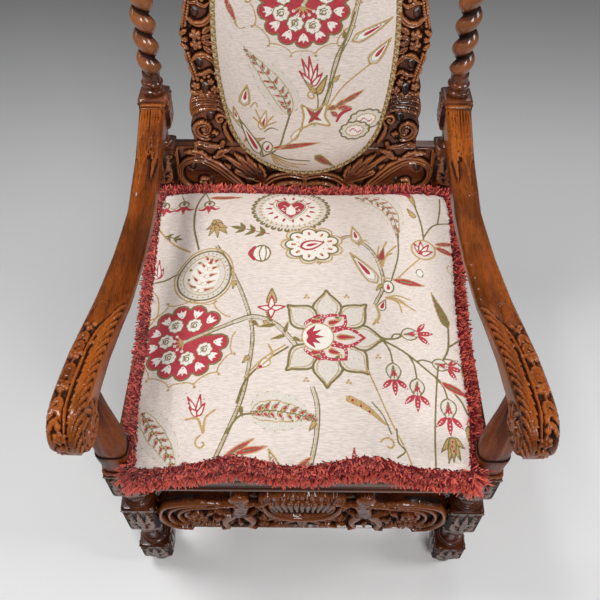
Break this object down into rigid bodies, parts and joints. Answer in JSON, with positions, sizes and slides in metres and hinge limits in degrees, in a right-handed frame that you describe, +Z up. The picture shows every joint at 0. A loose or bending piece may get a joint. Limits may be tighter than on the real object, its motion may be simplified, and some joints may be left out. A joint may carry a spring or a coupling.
{
  "type": "carved open armchair",
  "caption": "High-back carved oak armchair with barley-twist posts, oval upholstered back, scroll arms, turned legs, carved front stretcher and a loose fringed seat cushion.",
  "frame": {"origin": "on the floor, under the middle of the whole chair's box", "axes": "+Z up, +X to the right seen from the front, the sitter faces -Y"},
  "size_m": [0.642, 0.7462, 1.234],
  "materials": {
    "carved_oak": "dark red-brown stain under wax, dark in the recesses",
    "plain_wood": "plain sawn wood",
    "steel": "dull steel",
    "floral_fabric": "cream slub linen with a red, olive and tan floral print",
    "plain_fabric": "plain cream linen",
    "hessian": "jute",
    "braid": "woven braid in beige, olive and red-orange",
    "fringe": "coral red cut fringe"
  },
  "bodies": {
    "frame": {"front_leg_left": "carved_oak", "front_leg_right": "carved_oak", "back_post_left": "carved_oak", "back_post_right": "carved_oak", "front_seat_rail": "carved_oak", "rear_seat_rail": "plain_wood", "side_seat_rail_left": "carved_oak", "side_seat_rail_right": "carved_oak", "seat_corner_blocks": "plain_wood", "corner_block_screws": "steel", "carved_front_stretcher": "carved_oak", "side_stretcher_left": "carved_oak", "side_stretcher_right": "carved_oak", "cross_stretcher": "carved_oak", "rear_stretcher": "carved_oak", "arm_left": "carved_oak", "arm_right": "carved_oak", "arm_screws": "steel", "arm_support_left": "carved_oak", "arm_support_right": "carved_oak", "arm_support_dowels": "plain_wood", "back_lower_rail": "carved_oak", "back_frame_left": "carved_oak", "back_frame_right": "carved_oak", "crest_rail": "carved_oak", "back_frame_dowels": "plain_wood", "finial_left": "carved_oak", "finial_right": "carved_oak", "back_panel_pad": "floral_fabric", "back_panel_board": "hessian", "outside_back_cover": "plain_fabric", "back_gimp": "braid", "rear_gimp": "braid", "seat_webbing": "hessian", "webbing_tacks": "steel", "seat_deck": "plain_fabric"},
    "cushion": {"seat_cushion": "floral_fabric", "cushion_fringe_top": "fringe", "cushion_fringe_bottom": "fringe"}
  },
  "joints": [
    {"name": "cushion_lift", "type": "slide", "parent": "frame", "child": "cushion", "axis": [0, -0.6, 0.8], "range_m": [0, 0.12]}
  ]
}
